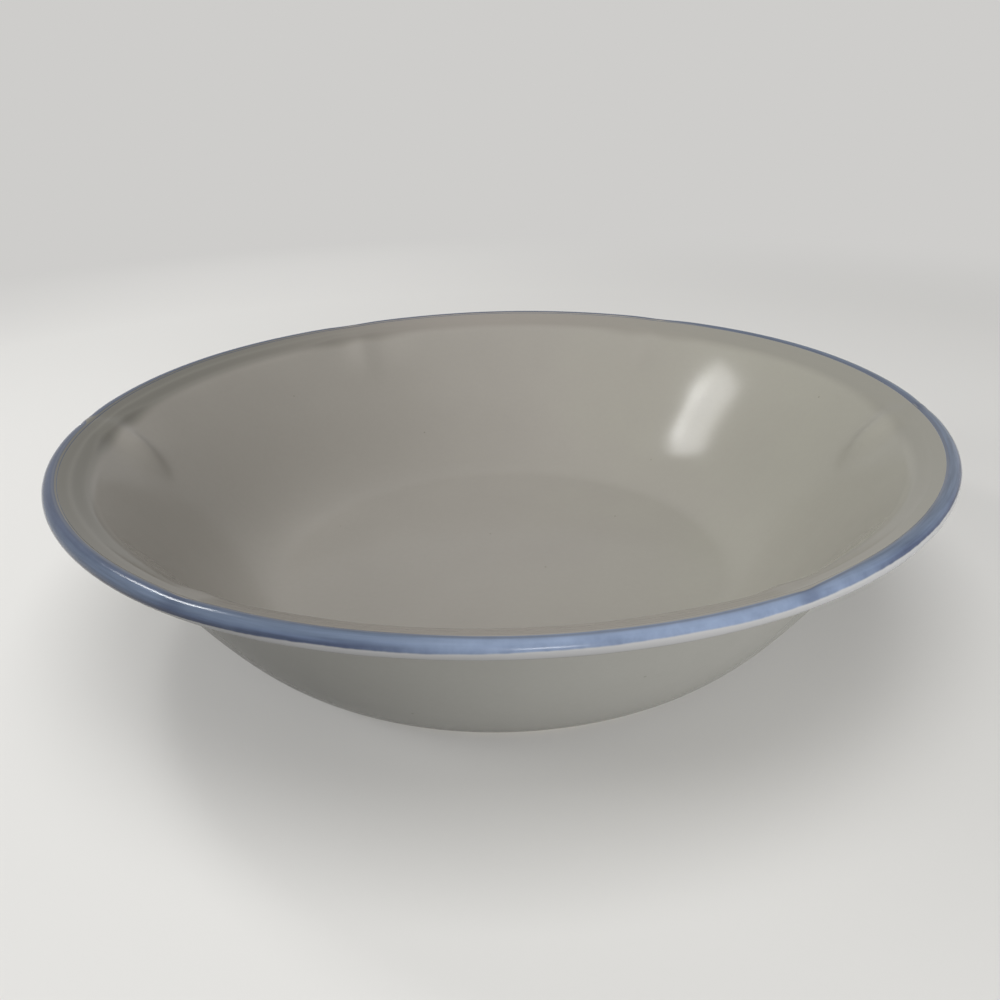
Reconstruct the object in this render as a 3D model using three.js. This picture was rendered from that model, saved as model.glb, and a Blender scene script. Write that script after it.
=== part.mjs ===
// A shallow glazed stoneware serving bowl with a six-lobed rim.
// Millimetres, +Z up. The origin is on the table, under the middle of the bowl.
// The clay body is one turned and pressed piece. Its glaze coats and the coloured band on the lip
// are thin closed solids that lie on the clay and meet each other on shared faces.

import * as THREE from 'three';

// Overall size
const RIM_RADIUS = 115; // widest radius of the lip, between two cusps
const BOWL_HEIGHT = 51.3; // table to the crest of the lip

// Lip and flange
const LIP_RADIUS = 2.06; // the lip is a full round bead
const FLANGE_WIDTH = 10.4; // outer edge of the lip to the shoulder where the wall starts
const FLANGE_DROP = 3.4; // crest of the lip down to the shoulder
const VALLEY_INSET = 4.6; // outer edge of the lip to the valley behind the bead
const VALLEY_DROP = 0.9; // crest of the lip down to that valley

// Wall
const WALL_THICKNESS = 3.4; // square to the wall, under the shoulder
const WALL_ANGLE = 48; // degrees above level, at the shoulder
const WALL_TOP_PULL = 0.41; // how far the inside stays straight below the shoulder, share of its chord
const WALL_LOW_PULL = 0.27; // how far the floor runs level into the wall, share of the same chord
const UNDERCUT = 0.9; // outside of the wall stops this far below the shoulder, for the turn to the lip

// Floor and foot
const FOOT_RADIUS = 68.4; // outside of the foot ring
const FOOT_WIDTH = 6.0; // foot ring, inside to outside
const FOOT_DEPTH = 2.2; // table to the ceiling of the recess inside the ring
const FOOT_EDGE = 0.9; // rounding of the ring's outer edge
const FOOT_SLOPE = 1.6; // how far the ring's inner face leans in
const FOOT_BARE = 0.8; // bare clay left on the inner face, above the table
const FLOOR_THICKNESS = 4.3; // ceiling of the recess to the floor inside the bowl
const HEEL_INSET = 8.4; // outside of the foot ring to the edge of the level floor
const FOOT_ANGLE = 20; // degrees above level, where the outside leaves the foot
const OUTSIDE_LOW_PULL = 0.24; // pull of the outside curve at the foot, share of its chord
const OUTSIDE_TOP_PULL = 0.3; // pull of the outside curve under the lip, share of its chord

// Coats
const GLAZE_THICKNESS = 0.4;
const BAND_LOWER_ANGLE = -5; // degrees round the lip bead from its outermost point
const BAND_UPPER_ANGLE = 132;
const BEAD_START_ANGLE = -78; // where the underside of the flange runs into the bead

// Lobes and ribs
const LOBES = 6;
const CUSP_ANGLE = -1.5; // degrees from +X to the first cusp
const RIM_WAVE = 0.12; // rise of the rim between cusps, and its fall at them
const WAVE_REACH = 16; // how far below the shoulder radius the wave dies out
const RIB_HEIGHT = 0.8; // raised rib on the wall at each cusp
const RIB_LIP_HEIGHT = 0.3; // the same rib where it crosses the lip
const RIB_HALF_WIDTH = 3.0;
const RIB_REACH = 12.5; // how far inside the shoulder radius the rib runs out
const PINCH = 2.4; // the shoulder moves out along the flange on either side of a cusp
const PINCH_CENTRE = 3.8; // degrees from a cusp to the middle of each pinch
const PINCH_SPREAD = 4.2; // degrees, half width of each pinch
const PINCH_REACH = 9; // how far inside the shoulder radius the pinch dies out

// Facets
const COLUMNS_PER_LOBE = 12;
const COLUMNS = LOBES * COLUMNS_PER_LOBE;
const COLUMN_CROWDING = 0.75; // columns gather near the cusps, where the ribs are
const WALL_STEPS = 8;
const OUTSIDE_STEPS = 7;
const TURN_STEPS = 2;
const BAND_STEPS = 6;

// Worked-out places in the half section, as (radius, height)
const point = (radius, height) => new THREE.Vector2(radius, height);
const RIGHT_ANGLE = 90;
const radians = THREE.MathUtils.degToRad;
const heading = (degrees) => point(Math.cos(radians(degrees)), Math.sin(radians(degrees)));

const shoulder = point(RIM_RADIUS - FLANGE_WIDTH, BOWL_HEIGHT - FLANGE_DROP);
const valley = point(RIM_RADIUS - VALLEY_INSET, BOWL_HEIGHT - VALLEY_DROP);
const beadCentre = point(RIM_RADIUS - LIP_RADIUS, BOWL_HEIGHT - LIP_RADIUS);
const floorEdge = point(FOOT_RADIUS - HEEL_INSET, FOOT_DEPTH + FLOOR_THICKNESS);
const footInner = point(FOOT_RADIUS - FOOT_WIDTH, 0);
const recessEdge = point(footInner.x - FOOT_SLOPE, FOOT_DEPTH);
const footSide = point(FOOT_RADIUS, FOOT_EDGE);
const flangeSlope = (valley.y - shoulder.y) / (valley.x - shoulder.x);
const wallTop = shoulder.clone()
  .addScaledVector(heading(WALL_ANGLE - RIGHT_ANGLE), WALL_THICKNESS)
  .addScaledVector(heading(WALL_ANGLE), -UNDERCUT);

const onBead = (degrees) => beadCentre.clone().addScaledVector(heading(degrees), LIP_RADIUS);

// A curve that leaves its start and reaches its end along given headings.
function sweep(start, startDegrees, startPull, end, endDegrees, endPull, steps) {
  const chord = start.distanceTo(end);
  const first = start.clone().addScaledVector(heading(startDegrees), startPull * chord);
  const second = end.clone().addScaledVector(heading(endDegrees), -endPull * chord);
  return new THREE.CubicBezierCurve(start, first, second, end).getPoints(steps);
}

function beadArc(fromDegrees, toDegrees, steps) {
  const arc = new THREE.EllipseCurve(
    beadCentre.x, beadCentre.y, LIP_RADIUS, LIP_RADIUS, radians(fromDegrees), radians(toDegrees),
  );
  return arc.getPoints(steps);
}

// The visible half section, from the middle of the underside round to the middle of the floor.
// Neighbouring stretches share their end points.
function visibleStretches() {
  const bareEdge = footInner.clone().lerp(recessEdge, FOOT_BARE / FOOT_DEPTH);
  const base = [point(0, FOOT_DEPTH), recessEdge, bareEdge];

  const edgeRound = new THREE.EllipseCurve(
    FOOT_RADIUS - FOOT_EDGE, FOOT_EDGE, FOOT_EDGE, FOOT_EDGE, radians(-RIGHT_ANGLE), 0,
  );
  const foot = [bareEdge, footInner, ...edgeRound.getPoints(TURN_STEPS)];

  const side = sweep(
    footSide, FOOT_ANGLE, OUTSIDE_LOW_PULL, wallTop, WALL_ANGLE, OUTSIDE_TOP_PULL, OUTSIDE_STEPS,
  );
  const beadStart = onBead(BEAD_START_ANGLE);
  const corner = point(wallTop.x + (beadStart.y - wallTop.y) / Math.tan(radians(WALL_ANGLE)), beadStart.y);
  const turn = new THREE.QuadraticBezierCurve(wallTop, corner, beadStart).getPoints(TURN_STEPS);
  const underBead = beadArc(BEAD_START_ANGLE, BAND_LOWER_ANGLE, TURN_STEPS);
  const outside = [...side, ...turn.slice(1), ...underBead.slice(1)];

  const band = beadArc(BAND_LOWER_ANGLE, BAND_UPPER_ANGLE, BAND_STEPS);

  const wall = sweep(
    floorEdge, 0, WALL_LOW_PULL, shoulder, WALL_ANGLE, WALL_TOP_PULL, WALL_STEPS,
  ).reverse();
  const inside = [onBead(BAND_UPPER_ANGLE), valley, ...wall, point(0, floorEdge.y)];

  return { base, foot, outside, band, inside };
}

// One row of the section: its order, its place, its outward normal, how high the rib stands there
// and how much of the pinch it takes.
function makeRows(stretches) {
  const rows = [];
  const spans = {};
  for (const [name, places] of Object.entries(stretches)) {
    const first = Math.max(rows.length - 1, 0);
    const fresh = rows.length === 0 ? places : places.slice(1);
    for (const place of fresh) {
      rows.push({
        order: rows.length, place, rib: ribHeight(name, place.x), pinch: pinchShare(name, place.x),
      });
    }
    spans[name] = [first, rows.length - 1];
  }
  rows.forEach((row, index) => {
    const before = rows[Math.max(index - 1, 0)].place;
    const after = rows[Math.min(index + 1, rows.length - 1)].place;
    const along = after.clone().sub(before).normalize();
    row.normal = point(along.y, -along.x);
  });
  rows[0].normal = point(0, -1);
  rows[rows.length - 1].normal = point(0, 1);
  return { rows, spans };
}

function ribHeight(stretch, radius) {
  if (stretch === 'band') {
    return RIB_LIP_HEIGHT;
  }
  if (stretch !== 'inside') {
    return 0;
  }
  if (radius > shoulder.x) {
    return THREE.MathUtils.mapLinear(radius, shoulder.x, RIM_RADIUS, RIB_HEIGHT, RIB_LIP_HEIGHT);
  }
  return RIB_HEIGHT * THREE.MathUtils.smoothstep(radius, shoulder.x - RIB_REACH, shoulder.x);
}

function pinchShare(stretch, radius) {
  if (stretch !== 'inside') {
    return 0;
  }
  if (radius > shoulder.x) {
    return 1 - THREE.MathUtils.smoothstep(radius, shoulder.x, valley.x);
  }
  return THREE.MathUtils.smoothstep(radius, shoulder.x - PINCH_REACH, shoulder.x);
}

// The relief that turns the plain section into a lobed rim with a rib at every cusp.
function cuspOffset(angle) {
  const lobe = 2 * Math.PI / LOBES;
  const fromCusp = angle - radians(CUSP_ANGLE);
  return fromCusp - lobe * Math.round(fromCusp / lobe);
}

const bell = (distance, spread) => Math.exp(-((distance / spread) ** 2));

function pressedPoint(row, depth, angle) {
  const offset = cuspOffset(angle);
  const rib = row.rib * bell(offset * row.place.x, RIB_HALF_WIDTH);
  const fromPinch = Math.abs(offset) - radians(PINCH_CENTRE);
  const pinch = PINCH * row.pinch * bell(fromPinch, radians(PINCH_SPREAD));
  const waveShare = THREE.MathUtils.smoothstep(row.place.x, shoulder.x - WAVE_REACH, shoulder.x);
  const wave = -RIM_WAVE * waveShare * Math.cos(LOBES * offset);
  const radius = row.place.x + row.normal.x * (rib - depth) + pinch;
  const height = row.place.y + row.normal.y * (rib - depth) + pinch * flangeSlope + wave;
  return { radius, height };
}

// A column's direction. Columns gather near the cusps.
function columnAngle(column) {
  const even = 2 * Math.PI * (column % COLUMNS) / COLUMNS;
  return radians(CUSP_ANGLE) + even - COLUMN_CROWDING * Math.sin(LOBES * even) / LOBES;
}

// Two solids that share a face run along it in opposite orders, so each quad is split by the order
// of its rows and not by the order of the stations: both solids then have the same triangles there.
function sharedFacets(stations) {
  const runsOn = (here, next) => (
    next.row.order === here.row.order ? next.depth > here.depth : next.row.order > here.row.order
  );
  const triangles = [];
  for (let column = 0; column < COLUMNS; column += 1) {
    for (let station = 0; station < stations.length - 1; station += 1) {
      const here = column * stations.length + station;
      const right = here + stations.length;
      if (runsOn(stations[station], stations[station + 1])) {
        triangles.push(here, right, here + 1, right + 1, here + 1, right);
      } else {
        triangles.push(here, right, right + 1, here, right + 1, here + 1);
      }
    }
  }
  return triangles;
}

// A solid turned from stations in order round its section, then pressed into the lobed relief.
// A station is a row of the section and a depth below the visible surface.
function pressedSolid(stations) {
  const section = stations.map(({ row }) => row.place);
  const geometry = new THREE.LatheGeometry(section, COLUMNS);
  const position = geometry.getAttribute('position');
  for (let index = 0; index < position.count; index += 1) {
    const { row, depth } = stations[index % stations.length];
    const angle = columnAngle(Math.floor(index / stations.length));
    const { radius, height } = pressedPoint(row, depth, angle);
    const reach = row.place.x === 0 ? 0 : radius;
    position.setXYZ(index, reach * Math.cos(angle), reach * Math.sin(angle), height);
  }
  geometry.setIndex(sharedFacets(stations));
  geometry.computeVertexNormals();
  return geometry;
}

const { rows, spans } = makeRows(visibleStretches());

// The stations of one stretch, at the visible surface or below the coat.
function along(name, depth) {
  const [first, last] = spans[name];
  return rows.slice(first, last + 1).map((row) => ({ row, depth }));
}

const closed = (stations) => [...stations, stations[0]];

// A coat that ends on the axis runs out along its lower face and back along its upper one.
// A coat that goes round the bowl runs up its visible face and back down the clay.
const coatSections = {
  inner_glaze: [...along('inside', GLAZE_THICKNESS).reverse(), ...along('inside', 0)],
  base_glaze: [...along('base', 0), ...along('base', GLAZE_THICKNESS).reverse()],
  outer_glaze: closed([...along('outside', 0), ...along('outside', GLAZE_THICKNESS).reverse()]),
  rim_band: closed([...along('band', 0), ...along('band', GLAZE_THICKNESS).reverse()]),
};

const claySection = [
  ...along('base', GLAZE_THICKNESS),
  ...along('foot', 0),
  ...along('outside', GLAZE_THICKNESS),
  ...along('band', GLAZE_THICKNESS).slice(1),
  ...along('inside', GLAZE_THICKNESS).slice(1),
];

function finish(color, roughness) {
  return new THREE.MeshStandardMaterial({ color, roughness, metalness: 0 });
}

function piece(name, section, material) {
  const mesh = new THREE.Mesh(pressedSolid(section), material);
  mesh.name = name;
  return mesh;
}

const bowl = new THREE.Group();
bowl.name = 'serving_bowl';
bowl.add(
  piece('clay_body', claySection, finish(0xb9a992, 0.85)),
  piece('inner_glaze', coatSections.inner_glaze, finish(0x9d978d, 0.3)),
  piece('outer_glaze', coatSections.outer_glaze, finish(0x96948e, 0.32)),
  piece('base_glaze', coatSections.base_glaze, finish(0x96948e, 0.32)),
  piece('rim_band', coatSections.rim_band, finish(0x7b88a7, 0.25)),
);

export default bowl;
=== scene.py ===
"""A glazed stoneware serving bowl with a six-lobed rim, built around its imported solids.

Each coat of glaze is turned from its half section and pressed into lobes and ribs by Geometry Nodes.
Everything is in metres, with +Z up and the origin on the table under the middle of the bowl.
"""

import math

import bmesh
import bpy
from bpy.props import FloatProperty, FloatVectorProperty, IntProperty, PointerProperty
from mathutils import Matrix, Vector


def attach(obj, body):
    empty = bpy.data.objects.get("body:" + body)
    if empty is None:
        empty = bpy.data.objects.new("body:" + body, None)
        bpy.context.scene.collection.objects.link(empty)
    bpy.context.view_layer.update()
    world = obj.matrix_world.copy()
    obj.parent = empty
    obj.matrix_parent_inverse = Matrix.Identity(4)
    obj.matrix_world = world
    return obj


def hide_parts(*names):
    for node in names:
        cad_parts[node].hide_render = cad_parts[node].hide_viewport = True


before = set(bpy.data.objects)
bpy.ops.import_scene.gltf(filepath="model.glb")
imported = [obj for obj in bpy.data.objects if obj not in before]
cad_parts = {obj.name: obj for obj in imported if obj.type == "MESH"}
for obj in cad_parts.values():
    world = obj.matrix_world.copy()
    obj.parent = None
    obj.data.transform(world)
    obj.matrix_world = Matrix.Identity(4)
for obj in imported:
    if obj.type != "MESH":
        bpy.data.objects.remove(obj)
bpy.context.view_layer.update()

bl_info = {
    "name": "Glazed Serving Bowl",
    "version": (1, 0, 0),
    "blender": (4, 5, 0),
    "location": "3D View > Sidebar > Bowl",
    "description": "Turns a lobed stoneware bowl and its glazes around the packed solids",
    "category": "Object",
}

MM = 0.001
BODY = "root"


def linear(red, green, blue):
    """An sRGB colour, given from 0 to 255, as the linear colour that Blender works in."""
    shares = (red / 255, green / 255, blue / 255)
    return tuple(s / 12.92 if s <= 0.04045 else ((s + 0.055) / 1.055) ** 2.4 for s in shares)


def number(default, description, **limits):
    return FloatProperty(description=description, default=default, **limits)


def size(millimetres, description):
    """A length that a user may change, written in millimetres and kept in metres."""
    return number(millimetres * MM, description, unit="LENGTH", precision=5)


def angle(degrees, description):
    return number(math.radians(degrees), description, subtype="ANGLE")


def share(default, description):
    return number(default, description, min=0, max=4)


def watts(power, description):
    return number(power, f"{description}, watts")


def colour(red, green, blue, description):
    return FloatVectorProperty(
        description=description, default=linear(red, green, blue), subtype="COLOR", min=0, max=1
    )


def label_of(key):
    return key.replace("_", " ").capitalize()


def labelled(group):
    """Labels every property of a group with its own key."""
    for key, entry in group.__annotations__.items():
        entry.keywords["name"] = label_of(key)
    return group


# Sizes, finishes and studio


@labelled
class BowlShape(bpy.types.PropertyGroup):
    """The sizes of the bowl. They repeat those of the solids, with the finer relief added."""

    rim_radius: size(115, "Widest radius of the lip, between two cusps")
    height: size(51.3, "Table to the crest of the lip")
    lip_radius: size(2.06, "Radius of the round lip bead")
    flange_width: size(10.4, "Outer edge of the lip to the shoulder")
    flange_drop: size(3.4, "Crest of the lip down to the shoulder")
    valley_inset: size(4.6, "Outer edge of the lip to the valley behind the bead")
    valley_drop: size(0.9, "Crest of the lip down to that valley")
    shoulder_round: size(2.0, "Softening of the shoulder, along the section")
    wall_thickness: size(3.4, "Square to the wall, under the shoulder")
    wall_angle: angle(48, "Slope of the wall at the shoulder")
    wall_top_pull: share(0.41, "How far the inside stays straight below the shoulder")
    wall_low_pull: share(0.27, "How far the floor runs level into the wall")
    undercut: size(0.9, "Outside of the wall stops this far below the shoulder")
    foot_radius: size(68.4, "Outside of the foot ring")
    foot_width: size(6.0, "Foot ring, inside to outside")
    foot_depth: size(2.2, "Table to the ceiling of the recess")
    foot_edge: size(0.9, "Rounding of the foot ring")
    foot_slope: size(1.6, "How far the ring's inner face leans in")
    foot_bare: size(0.8, "Bare clay on the inner face, above the table")
    floor_thickness: size(4.3, "Recess to the floor inside the bowl")
    heel_inset: size(8.4, "Outside of the foot ring to the edge of the floor")
    foot_angle: angle(20, "Slope where the outside leaves the foot")
    outside_low_pull: share(0.24, "Pull of the outside curve at the foot")
    outside_top_pull: share(0.3, "Pull of the outside curve under the lip")
    glaze_thickness: size(0.4, "Every coat")
    band_lower_angle: angle(-5, "Round the bead from its outermost point")
    band_upper_angle: angle(132, "Round the bead from its outermost point")
    bead_start_angle: angle(-78, "Where the underside runs into the bead")
    columns: IntProperty(description="Facets round the bowl", default=600, min=60)
    lobes: IntProperty(description="Lobes of the rim", default=6, min=1)
    cusp_angle: angle(-1.5, "Direction of the first cusp, from +X")
    rim_wave: size(0.12, "Rise of the rim between cusps and its fall at them")
    wave_reach: size(16, "How far inside the shoulder the wave dies out")
    rib_height: size(1.7, "Raised rib on the wall at each cusp")
    rib_shoulder_height: size(0.6, "The same rib where it crosses the shoulder")
    rib_lip_height: size(0.1, "The same rib where it crosses the lip")
    rib_lip_width: size(1.5, "Half width of the rib on the lip")
    rib_rise: size(4.5, "From the shoulder inwards to the rib's full height")
    rib_top_width: size(4.8, "Half width of the rib at the shoulder")
    rib_end_width: size(4, "Half width of the rib where it runs out")
    rib_reach: size(13.5, "How far inside the shoulder the rib runs out")
    rib_fade: share(0.9, "How much lower the ribs are towards the front and back")
    pinch: size(1.8, "The shoulder moves out on either side of a cusp")
    pinch_centre: angle(3.8, "From a cusp to the middle of each pinch")
    pinch_spread: angle(5, "Half width of each pinch")
    pinch_reach: size(9, "How far inside the shoulder the pinch dies out")
    lip_dip: size(0.3, "The crest of the lip dips at each cusp")
    lip_dip_width: size(7, "Half width of that dip")
    line_height: size(0.06, "The two fine raised lines on the flange")
    line_width: size(0.7, "Half width of such a line")
    line_gap: angle(5, "The lines fade out this near a cusp")
    outer_line_inset: size(6.2, "Outer edge of the lip to the outer line")
    inner_line_inset: size(9.6, "Outer edge of the lip to the inner line")


@labelled
class GlazeLook(bpy.types.PropertyGroup):
    """The colours and gloss of the glazes and the clay."""

    inside: colour(154, 150, 143, "Warm grey coat inside the bowl")
    inside_green: colour(155, 153, 143, "The same coat towards the right")
    flange: colour(143, 138, 131, "The same coat on the flange, a little darker")
    # Painted shade: the flange coat darker to the left
    flange_deep: colour(109, 107, 100, "Where that coat is thickest, to the left")
    flange_green: colour(142, 140, 131, "That coat towards the right")
    outside: colour(150, 149, 143, "Slightly cooler coat outside")
    thin: colour(154, 154, 154, "Where the coat is thin over an edge")
    speck: colour(84, 74, 64, "Small dark specks in the glaze")
    blue: colour(76, 87, 108, "The band on the lip")
    # Also used as painted shade on the band, to the left and at the back
    blue_deep: colour(57, 65, 87, "Where the band is thick")
    blue_light: colour(93, 105, 124, "Where the band is thin")
    # Painted sheen: the band lighter towards the front, where it mirrors the light in front
    blue_worn: colour(126, 140, 163, "Where the band is thinnest, towards the front")
    blue_pooled: colour(96, 101, 112, "The line where the band ends behind the crest")
    clay: colour(192, 178, 156, "Unglazed foot ring")
    shine: share(0.15, "Mirrored light of the grey coats, 0.5 being that of glass")
    band_shine: share(0.25, "Mirrored light of the blue band, 0.5 being that of glass")
    gloss_roughness: share(0.15, "Roughness of the grey coats")
    band_roughness: share(0.18, "Roughness of the blue band")


@labelled
class StudioSetup(bpy.types.PropertyGroup):
    """The camera, the lamps and the tones of the floor and backdrop."""

    camera_distance: size(271.54, "Lens to the aim point")
    camera_elevation: angle(15.906, "Rise of the lens axis above level")
    camera_roll: angle(-1.492, "Tilt of the picture")
    aim_x: size(0.39, "Aim point, sideways")
    aim_z: size(68.36, "Aim point, above the table")
    lens: number(36.573, "Focal length for a 36 mm frame")
    lens_shift: number(-0.15, "The picture's middle above the lens axis, in widths")
    window_power: watts(0.4, "Panel mirrored in the wall")
    pane_power: watts(0.085, "Bright part of that panel")
    strip_power: watts(1.9, "Panel mirrored on the lip")
    top_power: watts(12.6, "Soft light from above")
    left_power: watts(4.2, "Soft light from the left")
    front_power: watts(1.2, "Soft light from the front")
    back_power: watts(5.0, "Low light from behind")
    side_power: watts(4.0, "Low light from the right")
    sky: number(0.1, "Strength of the even light all round")
    floor: colour(226, 225, 222, "Plain pale floor, as seen")
    floor_bounce: colour(80, 80, 79, "The floor's tone in the light it throws up")
    floor_lift: share(0.3, "How much of the even tone is seen in the shadow")
    backdrop: colour(206, 205, 203, "The even tone further off")


# Node trees written as expressions


def arithmetic(operation, swapped=False):
    """A method that adds one maths node, with its two entries in either order."""
    def method(self, other):
        return self.wires.maths(operation, *((other, self) if swapped else (self, other)))
    return method


class Value:
    """A node's output socket that takes part in Python arithmetic."""

    __add__ = __radd__ = arithmetic("ADD")
    __mul__ = __rmul__ = arithmetic("MULTIPLY")
    __sub__ = arithmetic("SUBTRACT")
    __rsub__ = arithmetic("SUBTRACT", swapped=True)
    __truediv__ = arithmetic("DIVIDE")
    __rtruediv__ = arithmetic("DIVIDE", swapped=True)
    __pow__ = arithmetic("POWER")

    def __init__(self, wires, socket):
        self.wires = wires
        self.socket = socket

    def __neg__(self):
        return self * -1.0


class Wires:
    """Adds nodes to one tree and hands back their outputs as values."""

    def __init__(self, tree):
        self.tree = tree

    def node(self, kind, settings=None, inputs=None, output=0):
        """One node: its settings first, then the values or links of its sockets."""
        made = self.tree.nodes.new(kind)
        for name, setting in (settings or {}).items():
            if name == "stops":
                self.set_stops(made.color_ramp, setting)
            else:
                setattr(made, name, setting)
        for key, entry in (inputs or {}).items():
            self.plug(entry, made.inputs[key])
        return Value(self, made.outputs[output]) if len(made.outputs) else made

    def plug(self, entry, socket):
        """Links a varying value to a socket or sets a constant on it."""
        if isinstance(entry, Value):
            self.tree.links.new(entry.socket, socket)
        else:
            socket.default_value = entry

    def set_stops(self, ramp, stops):
        while len(ramp.elements) < len(stops):
            ramp.elements.new(1.0)
        for element, (place, shade) in zip(ramp.elements, stops):
            element.position = place
            element.color = shade

    def maths(self, operation, *entries):
        return self.node("ShaderNodeMath", {"operation": operation}, dict(enumerate(entries)))

    def bell(self, distance, spread):
        """A smooth hump, 1 where the distance is nought."""
        return self.maths("EXPONENT", -((distance / spread) ** 2.0))

    def smooth(self, entry, low, high):
        """A smooth step from 0 at low to 1 at high."""
        return self.node(
            "ShaderNodeMapRange", {"interpolation_type": "SMOOTHSTEP"},
            {"Value": entry, "From Min": low, "From Max": high},
        )

    def mix(self, factor, first, second, blend="MIX"):
        """Two colours, mixed."""
        made = self.tree.nodes.new("ShaderNodeMix")
        made.data_type = "RGBA"
        made.blend_type = blend
        made.clamp_factor = True
        sockets = {socket.identifier: socket for socket in (*made.inputs, *made.outputs)}
        self.plug(factor, sockets["Factor_Float"])
        for name, tone in (("A_Color", first), ("B_Color", second)):
            self.plug(tone if isinstance(tone, Value) else (*tone[:3], 1.0), sockets[name])
        return Value(self, sockets["Result_Color"])


# The half section of the bowl


class Row:
    """One point of the section, with how much of the pressed relief it takes."""

    run = rib = pinch = line = dip = 0.0
    rib_width = 1.0

    def __init__(self, place, relief):
        self.place = place
        if relief is not None:
            relief(self)


def heading(turn):
    return Vector((math.cos(turn), math.sin(turn)))


def smoothstep(value, low, high):
    part = min(max((value - low) / (high - low), 0.0), 1.0)
    return part * part * (3 - 2 * part)


def hump(distance, spread):
    return math.exp(-((distance / spread) ** 2))


def between(first, last, part):
    return first + (last - first) * part


def fractions(steps):
    return [step / steps for step in range(steps + 1)]


def curve_points(controls, steps):
    """Points along a Bezier curve of any number of control points. Two make a straight line."""
    points = []
    for part in fractions(steps):
        layer = list(controls)
        while len(layer) > 1:
            layer = [a.lerp(b, part) for a, b in zip(layer, layer[1:])]
        points.append(layer[0])
    return points


def sweep_points(start, start_turn, start_pull, end, end_turn, end_pull, steps):
    """A curve that leaves its start and reaches its end along given headings."""
    chord = (end - start).length
    first = start + heading(start_turn) * start_pull * chord
    second = end - heading(end_turn) * end_pull * chord
    return curve_points([start, first, second, end], steps)


def arc_points(centre, radius, start_turn, end_turn, steps):
    turns = [between(start_turn, end_turn, part) for part in fractions(steps)]
    return [centre + heading(turn) * radius for turn in turns]


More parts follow.
